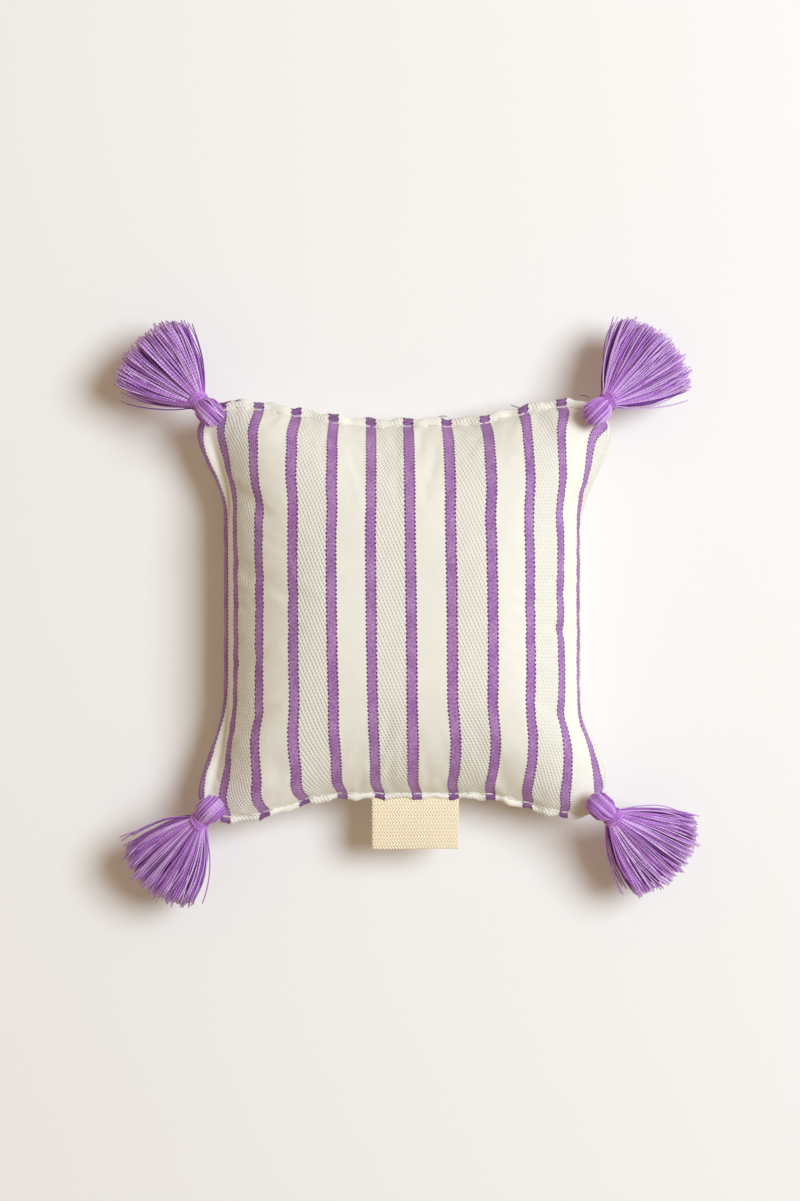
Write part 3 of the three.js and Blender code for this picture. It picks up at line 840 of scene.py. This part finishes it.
def fill(front, back):
    """Dried buds, lying just inside the cover."""
    inside = np.s_[FILL_COLUMN_INSET:-FILL_COLUMN_INSET,
                   STITCH_ROWS[0] + FILL_ROW_INSET:STITCH_ROWS[1] - FILL_ROW_INSET + 1]
    front, back = front[inside], back[inside]
    middle = (front + back) / 2
    gap = np.linalg.norm(front - back, axis=-1, keepdims=True)
    keep = np.clip(1 - FILL_CLEARANCE / (gap + TINY), FILL_LEAST_SHARE, 1)
    lumps = UP * rng.uniform(*FILL_LUMPS, front.shape[:2] + (1,))
    shares = np.array([FILL_WIDTH_SHARE, FILL_WIDTH_SHARE, 1])
    centre = UP * SEAM_Z
    top = centre + (middle + (front - middle) * keep + lumps - centre) * shares
    under = centre + (middle + (back - middle) * keep - lumps - centre) * shares
    rim = (top + under) / 2
    for sheet in (top, under):
        for cut in (np.s_[0], np.s_[-1], np.s_[:, 0], np.s_[:, -1]):
            sheet[cut] = rim[cut]
    upper, lower, faces = two_grids(*top.shape[:2])
    buds = mesh_object("dried_buds", both_sheets(upper, lower, top, under), faces, dried_buds())
    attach(buds, "cushion")
    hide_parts("lavender_fill")


# Stitches

STITCH_GAP = 0.4
STITCH_MARGIN = 4.5
STITCH_ARCH = 0.5
STITCH_SUNK = 0.32
STITCH_STRAY = 0.05
THREAD_RADIUS = 0.2
SEAM_THREAD_RADIUS = 0.14
SEAM_THREAD_MARGIN = 4
SEAM_THREAD_INSET = 0.6
SEAM_THREAD_SUNK = 0.25
SEAM_STITCHES = 34
SEAM_WAVE = 0.12


def sewn(place, paths, radius, sides, material):
    made = tubes(f"{place}_stitches", paths, radius, sides, material)
    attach(made, "cushion")
    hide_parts(f"{place}_thread")


def hem_stitches(place, line, face_side, material):
    """Stitches on one face of a hem."""
    starts = np.arange(PANEL_LEFT + STITCH_MARGIN, PANEL_RIGHT - STITCH_MARGIN, STITCH_PITCH)
    share = np.linspace(0, 1, 9)
    arch = STITCH_ARCH * np.minimum(np.sin(share * pi) * 3, 1) - STITCH_SUNK
    paths = []
    for begin, end in zip(starts[:-1], starts[1:]):
        wanted = begin + STITCH_GAP / 2 + (end - begin - STITCH_GAP) * share
        stitch = points_at(line, FLAT_U, wanted)
        stitch[:, 2] += face_side * arch
        stitch[:, 1] += rng.normal(0, STITCH_STRAY)
        paths.append(stitch)
    sewn(place, paths, THREAD_RADIUS, 8, material)


def seam_stitches(place, edge, material):
    """A line of stitches just inside a side seam."""
    share = np.linspace(0, 1, 400)
    line = edge + [-SEAM_THREAD_INSET * np.sign(edge[0, 0]), 0, -SEAM_THREAD_SUNK]
    low, high = STITCH_ROWS
    rows = np.linspace(low + SEAM_THREAD_MARGIN, high - SEAM_THREAD_MARGIN, len(share))
    path = points_at(line, np.arange(len(line)), rows)
    path[:, 2] += SEAM_WAVE * np.sin(share * TURN * SEAM_STITCHES)
    sewn(place, [path], SEAM_THREAD_RADIUS, 6, material)


# Loose ends at the top hem: where each begins, its direction in degrees, length and curl
LOOSE_ENDS = ((11.4, 48.0, 172, 1.9, 0.3), (29.6, 50.2, 176, 2.3, -0.4),
              (47.2, 52.5, 150, 2.6, 0.5), (-42.6, 51.6, 160, 2.2, 1.6),
              (-41.8, 51.4, 60, 1.5, -1.2))
LOOSE_END_RADIUS = 0.1
LOOSE_END_STEPS = 8


def loose_ends(material):
    paths = []
    share = np.linspace(0, 1, LOOSE_END_STEPS + 1)
    z = SEAM_Z + 0.5 + 0.6 * np.sin(share * 2.5)
    for x, y, heading, length, curl in LOOSE_ENDS:
        angle = radians(heading) + curl * share
        step = length / LOOSE_END_STEPS
        run = np.cumsum([np.cos(angle), np.sin(angle)], axis=1) * step
        paths.append(zipped(x + run[0], y + run[1], z))
    made = tubes("loose_ends", paths, LOOSE_END_RADIUS, 6, material)
    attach(made, "cushion")


# The label

LABEL_LOW, LABEL_HIGH = box_mm("label_flap")
TAIL_LOW, TAIL_HIGH = box_mm("label_tail")
TAPE_THICKNESS = 0.36
LABEL_GAP = 0.2
LABEL_FOLD = 0.45
LABEL_COLUMNS = 37
LABEL_ROWS = 26
LABEL_SAG = 0.9
LABEL_TWIST = 0.35
LABEL_OPENING = 0.5
LABEL_EDGE_WAVE = 0.12


def label():
    """A folded tape. Its section runs out of the hem, round the fold and back."""
    width = LABEL_HIGH[0] - LABEL_LOW[0]
    inner, outer = TAIL_HIGH[1] - 1.0, LABEL_LOW[1] + 0.5
    straight = np.linspace(inner, outer, LABEL_ROWS)
    turn = np.linspace(0, pi, 7)[1:-1]
    leaf = np.full(LABEL_ROWS, LABEL_GAP)
    section_y = np.concatenate([straight, outer - LABEL_FOLD * np.sin(turn), straight[::-1]])
    section_z = np.concatenate([leaf, LABEL_GAP * np.cos(turn), -leaf])
    run = run_along(zipped(section_y, section_z))
    hinge = TAIL_LOW[1]
    out = np.clip((hinge - section_y) / (hinge - outer), 0, 1)
    across = np.linspace(-width / 2, width / 2, LABEL_COLUMNS)[:, None]
    sag = LABEL_TWIST * out * np.sin(across * 0.16 + 0.8) - LABEL_SAG * out ** 2
    opening = 1 + LABEL_OPENING * out * (1 + 0.5 * np.sin(across * 0.35))
    x = across + (LABEL_HIGH[0] + LABEL_LOW[0]) / 2
    y = section_y + LABEL_EDGE_WAVE * out * np.sin(across * 0.2)
    z = SEAM_Z + section_z * opening + sag
    points = zipped(x, y, z).reshape(-1, 3)
    uvs = zipped(across, run).reshape(-1, 2) / UV_SPAN + 0.5
    quads = grid_quads(np.arange(len(points)).reshape(LABEL_COLUMNS, -1).T)
    made = mesh_object("label", points, quads, label_tape(), uvs)
    thick = made.modifiers.new("Thickness", "SOLIDIFY")
    thick.thickness = TAPE_THICKNESS * MM
    thick.offset = 0
    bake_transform(made)
    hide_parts("label_flap", "label_tail")


# Tassels are drawn with +X out along the tassel, +Z up and the loop's pin at the origin, and are
# then turned to their droop and direction

HEAD_DROP = 2.4
HEAD_BACK = -2.3
HEAD_END = 4.6
HEAD_RADIUS = 3.35
NECK_RADIUS = 2.1
NECK_END = 7.3
SKIRT_ROOT = NECK_END - 2.4
SKIRT_REACH = 22.9
SKIRT_LIFT = 1.3
TASSEL_DROOP = 26
# For each tassel: the fan's half angle, how much its sides curve in again, how far the fan is
# turned from the head's direction, and where the head sits
FANS = {"top_left": (27, 1.0, 2, (1.1, -0.7)), "top_right": (29, 0.9, 0, (-0.6, -0.5)),
        "bottom_left": (25, 1.1, 5, (1.2, -0.5)), "bottom_right": (29.5, 0.8, 4, (0.3, 0.2))}
HEAD_LOWERED = 0.8
TILT_DOWN = 18

# A skirt's strands. Angles are in degrees, and a pair is a range or two halves
STRANDS = 1000
STRAND_STEPS = 11
STRAND_RADIUS = 0.15
CLUSTERS = 34
CLUSTER_STRAY = 1.0
CLUSTER_SPREAD = 1.2
LOOSE_SHARE = 0.45
STRAYS = 8
STRAY_REACH = 9
FAN_MARGIN = 10
RISES = (11, 7)
STRAND_LENGTH_STRAY = 0.026
SWELLS = (0.6, 1.3)
STRAND_CURL = 3.6
STRAND_BEND = 0.36
BEND_WAVES = (1.0, 2.6)

HEAD_STRANDS = 16
HEAD_YARN_RADIUS = 0.205
HEAD_BEND_STEPS = 17
HEAD_SHADES = (0.2, 1.0)
LOOP_RADIUS = 0.27
LOOP_STEPS = 60
LOOP_SHADE = 0.35
WINDING_RADIUS = 0.25
WINDING_TURNS = 4.6
WINDING_START = 0.7
WINDING_SHADE = 0.6
WINDING_TURNS_BACK = 0.78
KNOT_Z = 10.5
KNOT_SCALE = 0.26


def tassel_frames():
    """Each tassel's name, the place of its loop's pin and its direction in degrees."""
    found = []
    for joint in frame["joints"]:
        name, kind = joint["name"].rsplit("_", 1)
        if kind == "tilt":
            axis = joint["axis"]
            heading = degrees(atan2(axis[0], -axis[1]))
            found.append((name, np.array(joint["pos_m"]) / MM, heading))
    return found


def placed(paths, pin, heading):
    """Paths or points drawn as above, brought to a tassel's place."""
    rotation = turned(heading, 0, 1) @ turned(TASSEL_DROOP, 2, 0)
    return np.asarray(paths) @ rotation.T + pin


def skirt_paths(half_angle, bell, turn):
    """Strands that leave the neck together, swell out like a bell and run straighter to their tips.
    Each strand's level, -1 underneath to 1 on top, comes with them."""
    centres = np.linspace(-1, 1, CLUSTERS) * half_angle * 0.95
    centres += rng.normal(0, CLUSTER_STRAY, CLUSTERS)
    bunch = rng.integers(0, CLUSTERS, STRANDS)
    loose = rng.random(STRANDS) < LOOSE_SHARE
    sideways = np.where(loose, rng.uniform(-half_angle, half_angle, STRANDS),
                        centres[bunch] + rng.normal(0, CLUSTER_SPREAD, STRANDS))
    strays = rng.choice(STRANDS, STRAYS, replace=False)
    strayed = rng.uniform(half_angle, half_angle + STRAY_REACH, STRAYS)
    sideways[strays] = np.sign(sideways[strays]) * strayed
    level = rng.uniform(-1, 1, STRANDS)
    rounded = np.sqrt(np.clip(1 - (sideways / (half_angle + FAN_MARGIN)) ** 2, 0.05, 1))
    side, lift = np.radians(sideways), np.radians(np.where(level > 0, *RISES) * level * rounded)
    off_axis = np.clip(np.abs(sideways) / half_angle, 0, 1)
    reach = SKIRT_REACH * rng.normal(1, STRAND_LENGTH_STRAY, STRANDS)
    reach *= (1 - 0.03 * np.abs(level)) * (1 - 0.07 * off_axis ** 2)

    t = np.linspace(0, 1, STRAND_STEPS)
    swell = bell * rng.uniform(*SWELLS, STRANDS)[:, None]
    opening = smooth(t, -0.1, 0.22) * (1.08 + swell * (0.5 - t))
    curl = np.radians(rng.normal(0, STRAND_CURL, (2, STRANDS, 1))) * (t - 0.55)
    yaw = side[:, None] * opening + curl[0] + radians(turn) * smooth(t, 0, 0.2)
    pitch = lift[:, None] * opening + curl[1]
    step = np.diff(reach[:, None] * t, axis=1, prepend=0)
    root = side / radians(half_angle + FAN_MARGIN) * pi / 2
    root_y = (NECK_RADIUS - 0.35) * np.sin(root)
    root_z = (NECK_RADIUS - 0.4) * level * np.sqrt(1 - (root_y / NECK_RADIUS) ** 2)
    x = SKIRT_ROOT + np.cumsum(step * np.cos(yaw) * np.cos(pitch), axis=1)
    y = root_y[:, None] + np.cumsum(step * np.sin(yaw), axis=1)
    z = root_z[:, None] + np.cumsum(step * np.sin(pitch), axis=1)
    bend = rng.normal(0, STRAND_BEND, (STRANDS, 2))
    rate = rng.uniform(*BEND_WAVES, STRANDS)[:, None]
    wave = np.sin(t * pi * rate + rng.uniform(0, 6, STRANDS)[:, None])
    y += bend[:, :1] * wave * t
    z += bend[:, 1:] * wave * t + HEAD_DROP + SKIRT_LIFT * t ** 2
    return zipped(x, y, z), level


def head_paths():
    """Strands folded over the loop's pin, each in a plane along the tassel."""
    middle, half = (HEAD_BACK + HEAD_END) / 2, (HEAD_END - HEAD_BACK) / 2
    full = HEAD_RADIUS - HEAD_YARN_RADIUS
    waist = NECK_RADIUS - HEAD_YARN_RADIUS
    angle = np.linspace(pi / 2, 3 * pi / 2, HEAD_BEND_STEPS)
    s = np.linspace(0, 1, 10)[1:]
    pull = smooth(s, 0.2, 1)
    radius = full * (1 - pull) + waist * pull
    x_run = middle + (HEAD_END + 0.7 - middle) * s
    paths = []
    for share in np.linspace(-0.965, 0.965, HEAD_STRANDS):
        share += rng.normal(0, 0.012)
        tall = sqrt(1 - share ** 2)
        long = (1 - abs(share) ** 2.5) ** 0.4
        x_bend = middle + half * max(long, 0.25) * np.cos(angle)
        z_bend = full * tall * np.sin(angle)
        y_bend = np.full(HEAD_BEND_STEPS, share * full)
        x = np.concatenate([x_run[::-1], x_bend, x_run])
        y = np.concatenate([share * radius[::-1], y_bend, share * radius])
        y += rng.normal(0, 0.09) * np.sin(np.linspace(0, pi * 3, len(y)))
        z = np.concatenate([tall * radius[::-1], z_bend, -tall * radius]) + HEAD_DROP
        paths.append(zipped(x, y, z))
    return paths


def winding_path():
    """Turns of the same yarn round the neck, with the last ones crossing back over the others."""
    t = np.linspace(0, 1, 150)
    angle = TURN * WINDING_TURNS * t + WINDING_START
    first, last = HEAD_END + 0.3, NECK_END - 0.1
    there = t / WINDING_TURNS_BACK
    back = 1 - (t - WINDING_TURNS_BACK) / (1 - WINDING_TURNS_BACK) * 0.8
    x = first + (last - first) * np.where(t < WINDING_TURNS_BACK, there, back)
    radius = NECK_RADIUS + 0.2 + 0.2 * smooth(t, 0.74, 0.82)
    return [zipped(x, radius * np.cos(angle), radius * np.sin(angle) + HEAD_DROP)]


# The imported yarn: place along the tassel, half width and half height. In the skirt: share of its
# reach and half height
CORE_STATIONS = ((HEAD_BACK + 0.5, 0.5, 0.5), (HEAD_BACK + 0.9, 1.9, 1.5),
                 (HEAD_BACK + 1.8, 2.75, 2.5), (1.2, 3.05, 3.05), (3.0, 2.7, 2.7),
                 (HEAD_END, 2.05, 2.05), (NECK_END, 2.1, 1.9))
CORE_SKIRT = ((0.25, 1.9), (0.4, 2.0), (0.55, 1.8), (0.68, 1.2), (0.78, 0.3))
CORE_REACH = 0.96
CORE_ROOT_HALF_WIDTH = 1.6
CORE_FAN_SHARE = 0.86
CORE_SIDES = 28


def core_mesh(name, pin, heading, half_angle, turn, material):
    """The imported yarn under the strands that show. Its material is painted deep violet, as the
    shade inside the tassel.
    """
    slope = tan(radians(half_angle))
    stations = list(CORE_STATIONS)
    for share, height in CORE_SKIRT:
        run = SKIRT_REACH * share * CORE_REACH
        width = CORE_ROOT_HALF_WIDTH + run * slope * CORE_FAN_SHARE
        stations.append((SKIRT_ROOT + run, width, height))
    angle = np.linspace(0, TURN, CORE_SIDES, endpoint=False)
    rings = []
    for x, half_width, half_height in stations:
        rise = HEAD_DROP + SKIRT_LIFT * max(0, (x - SKIRT_ROOT) / SKIRT_REACH) ** 2
        aside = max(0, x - NECK_END) * tan(radians(turn))
        rings.append(zipped(x, aside + half_width * np.cos(angle),
                            rise + half_height * np.sin(angle)))
    local = np.concatenate(rings)
    around = np.arctan2(local[:, 1], np.maximum(local[:, 0] - HEAD_END, 2.0))
    uvs = zipped(local[:, 0], around)
    faces = tube_faces(1, len(rings), CORE_SIDES)
    return mesh_object(name, placed(local, pin, heading), faces, material, uvs, "thread")


def loop_paths(pin, heading):
    """The thread that holds a tassel: over its pin, down through the corner, and a knot below."""
    across = turned(heading, 0, 1)[:, 1]
    drop = pin[2] - KNOT_Z
    share = np.linspace(0, 1, LOOP_STEPS)
    swell = 0.17 + 0.75 * np.exp(-((share - 0.5) / 0.32) ** 4)
    rise = np.sin(share * pi) ** 0.5 * drop - drop
    loop = UP * rise[:, None] + across * (np.cos(share * pi) * swell)[:, None]
    coil = np.linspace(0, TURN, LOOP_STEPS)
    reach = 2 + np.cos(3 * coil)
    ring = zipped(reach * np.cos(2 * coil), reach * np.sin(2 * coil), np.sin(3 * coil))
    return np.stack([loop, KNOT_SCALE * ring - UP * drop]) + pin


def kept_off_table(paths, pin, heading):
    """A skirt's strands, lifted where they would enter the table with the tassel tilted down."""
    down = radians(TILT_DOWN)
    outwards = (paths - pin) @ turned(heading, 0, 1)[:, 0]
    sunk = outwards * sin(down) - pin[2] + STRAND_RADIUS
    paths[..., 2] = np.maximum(paths[..., 2], pin[2] + sunk / cos(down))
    return paths


def tassel(name, pin, heading, yarn, painted_shade):
    body = f"{name}_tassel"
    half_angle, bell, turn, offset = FANS[name]
    seat = pin + np.array([*offset, -HEAD_LOWERED])
    paths, level = skirt_paths(half_angle, bell, turn)
    # Painted shade and light: each strand's shade is random, but strands inside the skirt are made
    # darker and those on its outside lighter
    shades = np.clip(rng.uniform(-0.1, 0.85, STRANDS) + 0.75 * np.abs(level) - 0.35, 0, 1)
    paths = kept_off_table(placed(paths, seat, heading), pin, heading)
    skirt = tubes(f"{body}_skirt", paths, STRAND_RADIUS, 4, yarn, shades)
    shades = rng.uniform(*HEAD_SHADES, HEAD_STRANDS)
    paths = placed(head_paths(), seat, heading)
    head = tubes(f"{body}_head", paths, HEAD_YARN_RADIUS, 10, yarn, shades)
    paths = placed(winding_path(), seat, heading)
    winding = tubes(f"{body}_winding", paths, WINDING_RADIUS, 10, yarn, [WINDING_SHADE])
    # The core is painted deep violet: painted shade between the strands
    core = core_mesh(f"{body}_core", seat, heading, half_angle, turn, painted_shade)
    for piece in (skirt, head, winding, core):
        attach(piece, body)
    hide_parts(f"{name}_tassel_yarn")
    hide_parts(f"{name}_tassel_binding")
    paths = loop_paths(pin, heading)
    loop = tubes(f"{body}_loop", paths, LOOP_RADIUS, 8, yarn, [LOOP_SHADE] * len(paths))
    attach(loop, f"{name}_tie")
    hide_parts(f"{name}_tassel_tie")


# Table, lamps and camera

TABLE_HALF_SIZE = 3000
ROOM_COLOUR = (1.0, 0.77, 0.52, 1)
ROOM_STRENGTH = 0.37
SEEN_COLOUR = (0.93, 0.9, 0.87, 1)
# The lamp's lean and heading are in degrees, and its distance and size in metres
LAMP_LEAN = 36
LAMP_HEADING = 18
LAMP_DISTANCE = 1.5
LAMP_SIZE = 0.85
LAMP_WATTS = 23.6
LAMP_COLOUR = (0.75, 0.87, 1.0)


def table():
    corners = np.array([(-1, -1, 0), (1, -1, 0), (1, 1, 0), (-1, 1, 0)]) * TABLE_HALF_SIZE
    mesh_object("table", corners, [(0, 1, 2, 3)], pale_table())


def room():
    """A world that lights softly, and that the camera and mirrors see in another colour."""
    world = bpy.data.worlds.new("soft room")
    world.use_nodes = True
    bpy.context.scene.world = world
    tree = world.node_tree
    light = tree.nodes["Background"]
    light.inputs["Color"].default_value = ROOM_COLOUR
    light.inputs["Strength"].default_value = ROOM_STRENGTH
    seen = tree.nodes.new("ShaderNodeBackground")
    seen.inputs["Color"].default_value = SEEN_COLOUR
    ray = tree.nodes.new("ShaderNodeLightPath")
    either = tree.nodes.new("ShaderNodeMath")
    either.operation = "MAXIMUM"
    mix = tree.nodes.new("ShaderNodeMixShader")
    for output, socket in ((ray.outputs["Is Camera Ray"], either.inputs[0]),
                           (ray.outputs["Is Glossy Ray"], either.inputs[1]),
                           (either.outputs[0], mix.inputs[0]),
                           (light.outputs[0], mix.inputs[1]),
                           (seen.outputs[0], mix.inputs[2]),
                           (mix.outputs[0], tree.nodes["World Output"].inputs[0])):
        tree.links.new(output, socket)


def window():
    lamp = bpy.data.lights.new("window", "AREA")
    lamp.shape = "DISK"
    lamp.size = LAMP_SIZE
    lamp.energy = LAMP_WATTS
    lamp.color = LAMP_COLOUR
    made = linked("window", lamp)
    lean, heading = radians(LAMP_LEAN), radians(LAMP_HEADING)
    out = LAMP_DISTANCE * sin(lean)
    made.location = (out * cos(heading), out * sin(heading),
                     LAMP_DISTANCE * cos(lean))
    made.rotation_euler = (0, lean, heading)


def camera():
    data = bpy.data.cameras.new("above")
    data.sensor_fit = "VERTICAL"
    data.sensor_height = SENSOR
    data.lens = SENSOR * CAMERA_HEIGHT / (PHOTO_SIZE[1] * MM_PER_PIXEL)
    made = linked("above", data)
    x = (PHOTO_SIZE[0] / 2 - ORIGIN_PIXEL[0]) * MM_PER_PIXEL
    y = (ORIGIN_PIXEL[1] - PHOTO_SIZE[1] / 2) * MM_PER_PIXEL
    made.location = (x * MM, y * MM, (CAMERA_HEIGHT + SEAM_Z) * MM)
    bpy.context.scene.camera = made


camera()
room()
window()
table()
bpy.context.scene.view_settings.view_transform = "Standard"

front, back = cushion_cover()
fill(front, back)
thread = sewing_thread("cream thread", srgb("f6efe2"))
for hem, row in (("top", STITCH_ROWS[1]), ("bottom", STITCH_ROWS[0])):
    hem_stitches(f"{hem}_hem_front", front[:, row], 1, thread)
    hem_stitches(f"{hem}_hem_back", back[:, row], -1, thread)
seam_stitches("left_seam", front[0], thread)
seam_stitches("right_seam", front[-1], thread)
loose_ends(sewing_thread("plum thread", PLUM))
label()
# The second material is painted shade for the tassels' cores
yarn, painted_shade = tassel_yarn(), painted_shade_yarn()
for name, pin, heading in tassel_frames():
    tassel(name, pin, heading, yarn, painted_shade)
